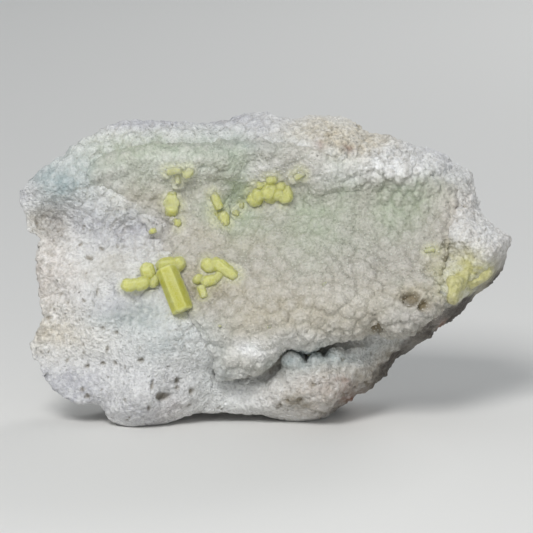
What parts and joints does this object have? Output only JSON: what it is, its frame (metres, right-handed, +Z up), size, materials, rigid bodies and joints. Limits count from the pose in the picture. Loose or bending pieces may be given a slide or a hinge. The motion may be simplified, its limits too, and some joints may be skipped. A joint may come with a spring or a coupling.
{
  "type": "ettringite specimen",
  "caption": "Upright cabinet mineral specimen: pale porous rock coated with a green crystal crust that carries lemon-yellow ettringite prisms.",
  "frame": {"origin": "middle of the bounding box, at the level of the two broken feet that it stands on", "axes": "+X to the right along the display face, -Y out of the display face toward the viewer, +Z up"},
  "size_m": [0.1098, 0.0362, 0.0668],
  "materials": {
    "host_rock": "matte, porous",
    "druse": "fine crystalline, faintly glassy",
    "lemon_crystal": "vitreous, translucent",
    "pale_crystal": "vitreous, translucent",
    "mustard_crystal": "dull, cloudy"
  },
  "bodies": {
    "root": {"matrix": "host_rock", "green_crust": "druse", "main_cluster": "lemon_crystal", "right_cluster": "lemon_crystal", "upper_left_cluster": "lemon_crystal", "hexagonal_tablet": "lemon_crystal", "small_crystal_1": "lemon_crystal", "small_crystal_2": "lemon_crystal", "long_prisms": "lemon_crystal", "bead_1": "lemon_crystal", "bead_2": "lemon_crystal", "upper_right_cluster": "lemon_crystal", "pale_crystal": "pale_crystal", "small_crystal_3": "lemon_crystal", "yellow_patch": "mustard_crystal"}
  },
  "joints": []
}
